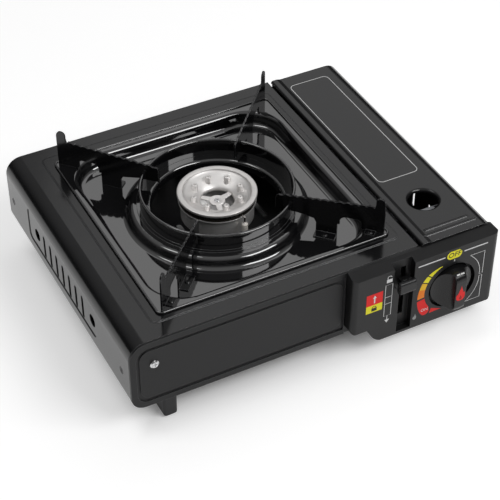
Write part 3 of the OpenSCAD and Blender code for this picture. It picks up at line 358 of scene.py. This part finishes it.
def ink(name, colour, rough=0.45):
    """Screen-printed paint, a little worn."""
    f = Finish(name, colour, rough, spec=0.25)
    wear = f.ramp(f.noise(1100, 4.0, 0.7), 0.6, 0.78)
    f.colour_from(f.tint(colour, lighter(colour, 0.6), wear, 0.3))
    f.rough_from(f.ramp(wear, 0, 1, rough, rough * 1.4))
    f.bump(f.noise(1500, 2.0), 0.15, 0.0001, bevel=0)
    return f.mat


FINISHES = {
    "body_enamel": enamel("body_enamel", (0.006, 0.006, 0.0065), 0.15, peel=0.012),
    "tray_enamel": enamel("tray_enamel", (0.004, 0.004, 0.0045), 0.05, peel=0.006, spec=0.7,
                          bevel=0.0004, ior=1.9),
    "support_enamel": enamel("support_enamel", (0.004, 0.004, 0.0045), 0.12),
    "black_screw": enamel("black_screw", (0.008, 0.008, 0.008), 0.3),
    "front_plate_paint": powder("front_plate_paint", (0.007, 0.007, 0.0075), 0.42),
    "back_paint": powder("back_paint", (0.024, 0.024, 0.025), 0.42),
    "panel_plastic": moulding("panel_plastic", (0.006, 0.006, 0.0064), 0.42),
    "knob_plastic": moulding("knob_plastic", (0.008, 0.008, 0.0085), 0.26, depth=0.06, bevel=0.001),
    "igniter_plastic": moulding("igniter_plastic", (0.03, 0.03, 0.03), 0.4),
    "plunger_plastic": moulding("plunger_plastic", (0.5, 0.03, 0.025), 0.3),
    "foot_plastic": moulding("foot_plastic", (0.02, 0.02, 0.021), 0.5),
    "rubber_black": rubber("rubber_black", (0.025, 0.025, 0.025)),
    "lead_sleeve": rubber("lead_sleeve", (0.03, 0.03, 0.032)),
    "bright_steel": sheet_metal("bright_steel", (0.72, 0.72, 0.73), 0.24),
    "zinc_sheet": sheet_metal("zinc_sheet", (0.30, 0.31, 0.325), 0.58, spangle=0.4),
    "cover_alloy": sheet_metal("cover_alloy", (0.76, 0.75, 0.74), 0.32),
    "brass": sheet_metal("brass", (0.75, 0.55, 0.25), 0.28),
    "zinc_casting": cast("zinc_casting", (0.58, 0.59, 0.61), 0.45),
    "port_ring_metal": cast("port_ring_metal", (0.07, 0.062, 0.055), 0.6),
    "cap_alloy": turned("cap_alloy", (0.90, 0.88, 0.865), 0.46, heat=0.12, metal=0.85),
    "burner_cup": turned("burner_cup", (0.85, 0.84, 0.83), 0.36, metal=0.7),
    "ceramic": glazed("ceramic"),
}
INKS = {
    "print_white": (0.78, 0.78, 0.78),
    "print_grey": (0.32, 0.33, 0.33),
    "print_yellow": (0.93, 0.85, 0.03),
    "print_amber": (0.90, 0.55, 0.03),
    "print_orange": (0.90, 0.24, 0.02),
    "print_red": (0.84, 0.02, 0.018),
    "print_dark_red": (0.36, 0.012, 0.01),
    "print_dark": (0.02, 0.02, 0.02),
}
PRINTS = {name: ink(name, colour) for name, colour in INKS.items()}

# Nodes whose surface differs from the rest of their slot
OWN_FINISH = {
    "burner_base": "burner_cup",
    "side_screws": "black_screw",
    "burner_bracket": "back_paint",
}

for row in frame["record"]["subparts"]:
    node = frame["nodes"][row["node"]]
    node.data.materials.clear()
    node.data.materials.append(FINISHES[OWN_FINISH.get(row["node"], row["material_slot"])])

# ---------- outlines of printed marks ----------


def around(centre, angle, radius):
    """The point at an angle in degrees and a radius from a centre."""
    a = math.radians(angle)
    return (centre[0] + radius * math.cos(a), centre[1] + radius * math.sin(a))


def box(u0, v0, u1, v1):
    return [(u0, v0), (u1, v0), (u1, v1), (u0, v1)]


def rounded(u0, v0, u1, v1, r, steps=8):
    """A box with corners of radius r."""
    centres = ((u1 - r, v1 - r), (u0 + r, v1 - r), (u0 + r, v0 + r), (u1 - r, v0 + r))
    return [around(centre, 90 * quarter + 90 * i / steps, r)
            for quarter, centre in enumerate(centres) for i in range(steps + 1)]


def arc_band(centre, start, end, inner, outer, steps=10):
    """A closed band between two angles; inner and outer are (radius at start, radius at end)."""
    def edge(radii):
        turns = [i / steps for i in range(steps + 1)]
        return [around(centre, start + (end - start) * t, radii[0] + (radii[1] - radii[0]) * t)
                for t in turns]
    return edge(outer) + edge(inner)[::-1]


def stroke(points, width, closed=False):
    """A four-sided outline for each stretch of a thin line."""
    count = len(points)
    sides = []
    for i, (x, y) in enumerate(points):
        before = points[i - 1] if i or closed else points[i]
        after = points[(i + 1) % count] if i < count - 1 or closed else points[i]
        dx, dy = after[0] - before[0], after[1] - before[1]
        size = math.hypot(dx, dy)
        nx, ny = -dy / size * width / 2, dx / size * width / 2
        sides.append(((x + nx, y + ny), (x - nx, y - ny)))
    quads = []
    for i in range(count if closed else count - 1):
        a, b = sides[i], sides[(i + 1) % count]
        quads.append([a[0], b[0], b[1], a[1]])
    return quads


def padlock(u, v, size, opened=False):
    """A padlock's body and shackle, standing on (u, v); an open shackle is raised on one leg."""
    shift = 1.2 if opened else 0
    right_end = 4.0 if opened else 3.2
    bow = [(-1.7, 3.2), (-1.7, 4.4), (-0.9, 5.2), (0.9, 5.2), (1.7, 4.4), (1.7, right_end)]
    bow = [(u + a * size, v + (b + shift) * size) for a, b in bow]
    if opened:
        bow.insert(0, (u - 1.7 * size, v + 3.2 * size))
    return [box(u - 2.5 * size, v, u + 2.5 * size, v + 3.3 * size)] + stroke(bow, 0.55 * size)


# ---------- surfaces that carry marks: (u, v) and a rise to a point ----------


def on_panel(u, v, rise):
    """The control panel's front face."""
    return at(u, PANEL_FACE - rise, v)


def on_print(u, v, rise):
    """The same face, over a mark that is already there."""
    return on_panel(u, v, OVER_PRINT + rise)


def on_lid(u, v, rise):
    """The lid's upper face."""
    return at(u, v, Z_LID + rise)


def on_grip(u, v, rise):
    """The grip bar's front face, from the knob's axis."""
    return at(KNOB[0] + u, KNOB_FACE - rise, KNOB[1] + v)


def on_flame(u, v, rise):
    """The same face, over the flame."""
    return on_grip(u, v, OVER_FLAME + rise)


def on_grip_end(u, turn, rise):
    """The rounded upper end of the grip bar; turn is the angle in degrees from its front."""
    a = math.radians(turn)
    reach = GRIP_ROUND + rise
    y = KNOB_FACE + GRIP_ROUND - reach * math.cos(a)
    z = KNOB[1] + GRIP_FLAT + reach * math.sin(a)
    return at(KNOB[0] + u, y, z)


# ---------- printed marks ----------


def as_object(name, mesh, material):
    """Turns a bmesh into an object with one material."""
    data = bpy.data.meshes.new(name)
    mesh.to_mesh(data)
    mesh.free()
    data.materials.append(material)
    made = bpy.data.objects.new(name, data)
    bpy.context.scene.collection.objects.link(made)
    return made


def printed(name, mesh, body, finish):
    """Makes a closed mesh into a mark that rides on its body."""
    bmesh.ops.recalc_face_normals(mesh, faces=mesh.faces)
    bmesh.ops.triangulate(mesh, faces=[f for f in mesh.faces if len(f.verts) > 4])
    made = as_object(name, mesh, PRINTS[finish])
    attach(made, body)


def plate(name, outlines, place, body, finish):
    """A mark from closed outlines in (u, v), laid on a surface by place(u, v, rise)."""
    mesh = bmesh.new()
    for outline in outlines:
        low = [mesh.verts.new(place(u, v, -MARK_RISE / 2)) for u, v in outline]
        high = [mesh.verts.new(place(u, v, MARK_RISE)) for u, v in outline]
        mesh.faces.new(high)
        mesh.faces.new(list(reversed(low)))
        for i in range(len(outline)):
            j = (i + 1) % len(outline)
            mesh.faces.new((low[i], low[j], high[j], high[i]))
    printed(name, mesh, body, finish)


def panel_mark(name, outlines, finish, place=on_panel):
    plate(name, outlines, place, "housing", finish)


def knob_mark(name, outlines, finish, place=on_grip):
    plate(name, outlines, place, "knob", finish)


def panel_word(name, letters, u, v, height, finish, lean=0.0):
    """Plain sans-serif capitals over a mark of the panel, centred on (u, v)."""
    curve = bpy.data.curves.new(name, "FONT")
    curve.body = letters
    curve.align_x = "CENTER"
    curve.align_y = "CENTER"
    curve.size = 1
    curve.resolution_u = 3
    curve.shear = lean
    text = bpy.data.objects.new(name, curve)
    bpy.context.scene.collection.objects.link(text)
    graph = bpy.context.evaluated_depsgraph_get()
    flat = bpy.data.meshes.new_from_object(text.evaluated_get(graph))
    bpy.data.objects.remove(text)
    tall = max(p.co.y for p in flat.vertices) - min(p.co.y for p in flat.vertices)
    scale = height / tall
    mesh = bmesh.new()
    mesh.from_mesh(flat)
    bmesh.ops.remove_doubles(mesh, verts=mesh.verts, dist=1e-5)
    lifted = bmesh.ops.extrude_face_region(mesh, geom=mesh.faces[:])
    top = {g for g in lifted["geom"] if isinstance(g, bmesh.types.BMVert)}
    for p in mesh.verts:
        rise = MARK_RISE if p in top else -MARK_RISE / 2
        p.co = on_print(u + p.co.x * scale, v + p.co.y * scale, rise)
    printed(name, mesh, "housing", finish)


def knob_point(angle, radius):
    """A point of the panel by its angle and distance from the knob's axis."""
    return around(KNOB, angle, radius)


def heat_scale():
    """A band round the knob that widens from off to full heat."""
    inner = 28.2
    for name, start, end, finish, first, last in (
        ("mark_low", 114, 140.5, "print_yellow", 28.6, 32.8),
        ("mark_low_end", 142.5, 154, "print_yellow", 32.9, 34.0),
        ("mark_mid", 156, 168.5, "print_amber", 34.0, 34.4),
        ("mark_high", 168.5, 186, "print_orange", 34.5, 35.2),
    ):
        band = arc_band(KNOB, start, end, (inner, inner), (first, last))
        panel_mark(name, [band], finish)


def spark_mark():
    """The spark position: a lobe with a round end, an arrow beyond it and a flame beside it."""
    steps = 12
    end = 215
    lobe = arc_band(KNOB, 190, end, (28.0, 27.8), (35.6, 37.4), steps)
    outer, inner = lobe[:steps + 1], lobe[steps + 1:]
    tip = knob_point(217.5, 33.2)
    cap = [around(tip, end + 180 * i / steps, 4.4) for i in range(1, steps)]
    panel_mark("mark_spark", [outer + cap + inner], "print_red")
    arrow = [knob_point(224.5, 27.6), knob_point(249, 25.7), knob_point(229, 32.4)]
    panel_mark("mark_arrow", [arrow], "print_red")
    foot, stretch = (262.7, 24.6), 1.1
    flame = [(0, 0), (-1.4, 0.5), (-2.0, 2.0), (-1.2, 3.6), (-0.9, 2.9), (-0.1, 4.2), (0.5, 6.2),
             (1.0, 4.2), (1.7, 2.6), (1.6, 1.0), (0.9, 0.2)]
    panel_mark("mark_flame", [[(foot[0] + u, foot[1] + v * stretch) for u, v in flame]], "print_grey")


def off_mark():
    """A rule along the top, broken by the pill that carries OFF, and a tick below the pill."""
    for i, (u0, u1) in enumerate(((262, 289), (308.4, 332.5))):
        panel_mark(f"rule_{i}", [box(u0, 84.9, u1, 86.1)], "print_white")
    panel_mark("off_pill", [rounded(290.9, 81.0, 306.0, 89.8, 4.35)], "print_yellow")
    panel_mark("off_tick", [box(298.6, 77.6, 299.4, 79.6)], "print_white")


def wedges():
    """Outlined wedges to the right of the knob, above and below its axis."""
    right = 330.4
    steps = 12
    for name, start, end, corner in (("wedge_top", 59, 2, 26.8), ("wedge_low", -59, -2, -26.8)):
        arc = [knob_point(start + (end - start) * i / steps, 31.3 - 0.24 * i)
               for i in range(steps + 1)]
        outline = arc + [(right, arc[-1][1]), (right, KNOB[1] + corner)]
        panel_mark(name, stroke(outline, 0.55, closed=True), "print_white")


def lever_scale():
    """The lever's scale, with an open padlock above it and an arrow to lock below it."""
    left, right, low, high = 230.4, 237.2, 42.2, 78.0
    middle = (left + right) / 2
    stem_end = 37.6
    panel_mark("scale_frame", stroke(box(left, low, right, high), 0.5, closed=True), "print_white")
    lines = [box(left, v - 0.25, right, v + 0.25) for v in (56.3, 63.9)]
    panel_mark("scale_lines", lines, "print_white")
    panel_mark("scale_stem", [box(middle - 0.3, stem_end, middle + 0.3, low)], "print_white")
    panel_mark("lock_arrow", [[(middle + u, stem_end - v) for u, v in ARROW]], "print_white")
    panel_mark("release_mark", padlock(middle, 80.3, 1.1, opened=True), "print_white")


def lever_tag():
    """A red and a yellow field left of the scale, with an arrow and a padlock."""
    left, right, low, seam, high = 212.0, 228.0, 52.2, 60.6, 73.2
    middle = (left + right) / 2
    head_foot = 68.0
    panel_mark("tag_red", [box(left, seam, right, high)], "print_red")
    panel_mark("tag_yellow", [box(left, low, right, seam)], "print_yellow")
    head = [(middle + u * 0.75, head_foot + v * 0.9) for u, v in ARROW]
    shaft = box(middle - 0.6, 62.6, middle + 0.6, head_foot)
    panel_mark("tag_arrow", [head, shaft], "print_white", on_print)
    panel_mark("tag_padlock", padlock(middle, 53.7, 1.0), "print_dark", on_print)


def label_frame():
    """The outline of the lid's label."""
    outline = rounded(283.3, 87.6, 324.3, 255.6, 5)
    frame_line = stroke(outline, 0.6, closed=True)
    plate("label_frame", frame_line, on_lid, "lid", "print_white")


def knob_marks():
    """A flame on the grip bar's face and two dashes over its rounded upper end."""
    flame = [(0, -7.1), (-2.6, -6.7), (-4.2, -4.6), (-4.5, -1.8), (-3.7, 1.2), (-2.9, -0.4),
             (-2.3, 1.6), (-1.3, 4.6), (-0.3, 7.0), (0.3, 9.6), (1.1, 6.6), (2.0, 3.8), (2.9, 1.0),
             (3.4, 2.6), (4.3, 0.2), (4.5, -2.2), (4.0, -4.8), (2.5, -6.7)]
    core = [(0.2, -6.1), (-1.0, -5.4), (-1.3, -3.8), (-0.5, -2.3), (0.1, -0.8), (0.7, -2.3),
            (1.5, -3.8), (1.3, -5.4)]
    knob_mark("knob_flame", [flame], "print_red")
    knob_mark("knob_flame_core", [core], "print_dark_red", on_flame)
    dashes = [box(-3.4, 57, -0.2, 67), box(0.6, 57, 4.2, 67)]
    knob_mark("knob_tick", dashes, "print_white", on_grip_end)


heat_scale()
spark_mark()
off_mark()
wedges()
lever_scale()
lever_tag()
panel_word("off_word", "OFF", 298.4, 85.4, 5.2, "print_dark", lean=0.1)
on_spot = knob_point(214, 32.6)
panel_word("on_word", "ON", on_spot[0] + 0.3, on_spot[1], 3.2, "print_white")
label_frame()
knob_marks()

# ---------- burner top ----------


def lathe(profile, steps=96):
    """A mesh turned about Z from a closed outline of (radius, height)."""
    mesh = bmesh.new()
    rings = []
    for i in range(steps):
        a = 2 * math.pi * i / steps
        rings.append([mesh.verts.new((r * math.cos(a), r * math.sin(a), z)) for r, z in profile])
    for i, ring in enumerate(rings):
        after = rings[(i + 1) % steps]
        for k in range(len(profile)):
            m = (k + 1) % len(profile)
            mesh.faces.new((ring[k], after[k], after[m], ring[m]))
    bmesh.ops.remove_doubles(mesh, verts=mesh.verts, dist=1e-6)
    bmesh.ops.recalc_face_normals(mesh, faces=mesh.faces)
    return mesh


def solid(name, mesh, finish, origin=(*BURNER, Z_CAP)):
    """An object from a bmesh in millimetres, moved to origin in the working frame."""
    for vert in mesh.verts:
        vert.co = at(origin[0] + vert.co.x, origin[1] + vert.co.y, origin[2] + vert.co.z)
    return as_object(name, mesh, FINISHES[finish])


def join(target, tools):
    """Unites the tools with the target by exact booleans and applies them."""
    for tool in tools:
        union = target.modifiers.new("union", "BOOLEAN")
        union.operation = "UNION"
        union.solver = "EXACT"
        union.object = tool
    graph = bpy.context.evaluated_depsgraph_get()
    target.data = bpy.data.meshes.new_from_object(target.evaluated_get(graph))
    target.modifiers.clear()
    for tool in tools:
        bpy.data.objects.remove(tool)


def shade_round(made):
    made.data.shade_smooth()
    made.data.set_sharp_from_angle(angle=math.radians(SMOOTH_BELOW))


def burner_cap():
    """A flat rim, a dished floor with bosses and a collar round the centre hole."""
    profile = [(28.5, -2.7), (35.2, -2.7), (35.5, -2.5), (35.6, -2.2), (35.6, -0.9), (35.45, -0.4),
               (35.1, -0.1), (34.6, 0), (31.2, 0), (30.7, -0.15), (30.45, -0.5), (30.3, -1.2),
               (29.9, -1.7), (27.5, -2.8), (24, -4.5), (20.5, -6.4), (17.9, -8.0), (16.4, -9.1),
               (15.5, -10.1), (15.15, -11.2), (15.1, -12.4), (16.1, -12.4), (16.3, -11.0),
               (17.3, -9.9), (20.6, -7.9), (24.5, -5.8), (27.7, -4.2), (28.5, -3.6)]
    boss = [(0, -7.6), (2.75, -7.6), (2.7, -1.0), (2.55, -0.45), (2.1, -0.15), (1.25, -0.15),
            (1.05, -0.5), (0.9, -1.6), (0, -1.6)]
    cap = solid("cap", lathe(profile, 144), "cap_alloy")
    bosses = []
    for k in range(BOSSES):
        spot = around(BURNER, BOSS_TURN + 360 / BOSSES * k, BOSS_RING)
        bosses.append(solid(f"boss_{k}", lathe(boss, 32), "cap_alloy", (*spot, Z_CAP)))
    join(cap, bosses)
    shade_round(cap)
    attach(cap, "housing")
    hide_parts("burner_cap")


def spider_arm(turn):
    """A flat bar from the hub to the cap's collar, narrower at its outer end."""
    bar = bmesh.new()
    bmesh.ops.create_cube(bar, size=1)
    for vert in bar.verts:
        along = 5.0 if vert.co.x < 0 else 15.3
        across = (2.9 if vert.co.x < 0 else 2.2) * (1 if vert.co.y > 0 else -1)
        level = -11.0 if vert.co.z > 0 else -12.5
        vert.co = (along, across, level)
    bmesh.ops.bevel(bar, geom=bar.edges[:], offset=0.35, segments=2, affect="EDGES")
    turned_by = Matrix.Rotation(math.radians(turn), 3, "Z")
    bmesh.ops.rotate(bar, verts=bar.verts, cent=(0, 0, 0), matrix=turned_by)
    return bar


def burner_spider():
    """The arms and the hub that hold the cap's middle."""
    hub = [(2.1, -12.6), (6.6, -12.6), (7.1, -12.2), (7.1, -11.2), (6.6, -10.8), (3.4, -10.8),
           (2.1, -11.4)]
    spider = solid("spider", lathe(hub, 64), "cap_alloy")
    arms = []
    for k in range(SPIDER_ARMS):
        arm = spider_arm(SPIDER_TURN + 360 / SPIDER_ARMS * k)
        arms.append(solid(f"arm_{k}", arm, "cap_alloy"))
    join(spider, arms)
    shade_round(spider)
    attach(spider, "housing")
    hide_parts("burner_spider")


def hub_rivet():
    """The hollow rivet in the hub."""
    profile = [(0, -14), (2.05, -14), (2.05, -11.5), (2.6, -11.2), (2.5, -10.7), (1.9, -10.45),
               (1.2, -10.5), (1.05, -11.6), (0, -11.6)]
    pin = solid("hub_rivet", lathe(profile, 40), "bright_steel")
    shade_round(pin)
    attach(pin, "housing")
    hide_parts("burner_screw")


burner_cap()
burner_spider()
hub_rivet()

# ---------- stage, lights and camera ----------


def seen_rays(tree):
    """1 for rays from the camera, a mirror or glass, 0 for the light that falls on the object."""
    path = tree.nodes.new("ShaderNodeLightPath")
    total = path.outputs["Is Camera Ray"]
    for kind in ("Is Glossy Ray", "Is Transmission Ray"):
        total = math_node(tree, "MAXIMUM", total, path.outputs[kind])
    return total


def fading_glow(tree):
    """The floor's painted glow, which fades out under the stove, darkening its footprint, so that its
    vents look into the dark.
    """
    coords = tree.nodes.new("ShaderNodeTexCoord")
    split = tree.nodes.new("ShaderNodeSeparateXYZ")
    tree.links.new(coords.outputs["Object"], split.inputs["Vector"])
    beyond = []
    for axis, half in zip("XY", FOOTPRINT):
        reach = math_node(tree, "ABSOLUTE", split.outputs[axis])
        beyond.append(math_node(tree, "SUBTRACT", reach, half))
    most = math_node(tree, "MAXIMUM", *beyond)
    # Painted glow, taken out over the stove's footprint
    return map_range(tree, most, *GLOW_FADE, 0.0, FLOOR_GLOW, "SMOOTHSTEP")


def floor():
    """A wide white floor that glows a little to the camera."""
    bpy.ops.mesh.primitive_plane_add(size=FLOOR_SIZE)
    made = bpy.context.active_object
    made.name = "floor"
    mat = bpy.data.materials.new("floor")
    mat.use_nodes = True
    tree = mat.node_tree
    bsdf = tree.nodes["Principled BSDF"]
    bsdf.inputs["Base Color"].default_value = (FLOOR_GREY, FLOOR_GREY, FLOOR_GREY, 1)
    bsdf.inputs["Roughness"].default_value = 0.9
    bsdf.inputs["Specular IOR Level"].default_value = 0.1
    bsdf.inputs["Emission Color"].default_value = (1, 1, 1, 1)
    glow = math_node(tree, "MULTIPLY", seen_rays(tree), fading_glow(tree))
    tree.links.new(glow, bsdf.inputs["Emission Strength"])
    made.data.materials.append(mat)


def room():
    """The world's light: dim near the horizon, lighter overhead."""
    world = bpy.data.worlds.new("studio")
    bpy.context.scene.world = world
    world.use_nodes = True
    tree = world.node_tree
    background = tree.nodes["Background"]
    background.inputs["Color"].default_value = (1, 1, 1, 1)
    coords = tree.nodes.new("ShaderNodeTexCoord")
    split = tree.nodes.new("ShaderNodeSeparateXYZ")
    tree.links.new(coords.outputs["Generated"], split.inputs["Vector"])
    strength = map_range(tree, split.outputs["Z"], *ROOM_RISE, ROOM_LOW, ROOM_HIGH)
    tree.links.new(strength, background.inputs["Strength"])


def softbox(name, azimuth, elevation, reach, size, radiance):
    """A rectangular lamp facing the object, placed by its direction and distance from it."""
    a, e = math.radians(azimuth), math.radians(elevation)
    towards = Vector((math.cos(a) * math.cos(e), math.sin(a) * math.cos(e), math.sin(e)))
    lamp = bpy.data.lights.new(name, "AREA")
    lamp.shape = "RECTANGLE"
    lamp.size, lamp.size_y = size
    lamp.energy = radiance * math.pi * size[0] * size[1]
    made = bpy.data.objects.new(name, lamp)
    made.location = towards * reach
    made.rotation_euler = towards.to_track_quat("Z", "Y").to_euler()
    bpy.context.scene.collection.objects.link(made)


def camera(azimuth, elevation, reach, aim, lens):
    """A level camera that looks along azimuth and down by elevation, with aim in the middle."""
    a, e = math.radians(azimuth), math.radians(elevation)
    along = Vector((math.cos(a) * math.cos(e), math.sin(a) * math.cos(e), -math.sin(e)))
    data = bpy.data.cameras.new("camera")
    data.sensor_fit = "HORIZONTAL"
    data.sensor_width = 36
    data.lens = lens
    made = bpy.data.objects.new("camera", data)
    made.location = Vector(aim) - along * reach
    made.rotation_euler = (-along).to_track_quat("Z", "Y").to_euler()
    bpy.context.scene.collection.objects.link(made)
    bpy.context.scene.camera = made


floor()
room()
softbox("back", azimuth=50, elevation=44, reach=2.5, size=(1.9, 1.6), radiance=0.6)
softbox("front", azimuth=-58, elevation=46, reach=2.2, size=(1.3, 0.75), radiance=6.3)
softbox("left", azimuth=160, elevation=66, reach=2.0, size=(0.4, 1.0), radiance=3.5)
camera(azimuth=62.5, elevation=41, reach=1.35, aim=(-0.0075, -0.0145, 0.05), lens=109)

scene = bpy.context.scene
scene.view_settings.view_transform = "Standard"
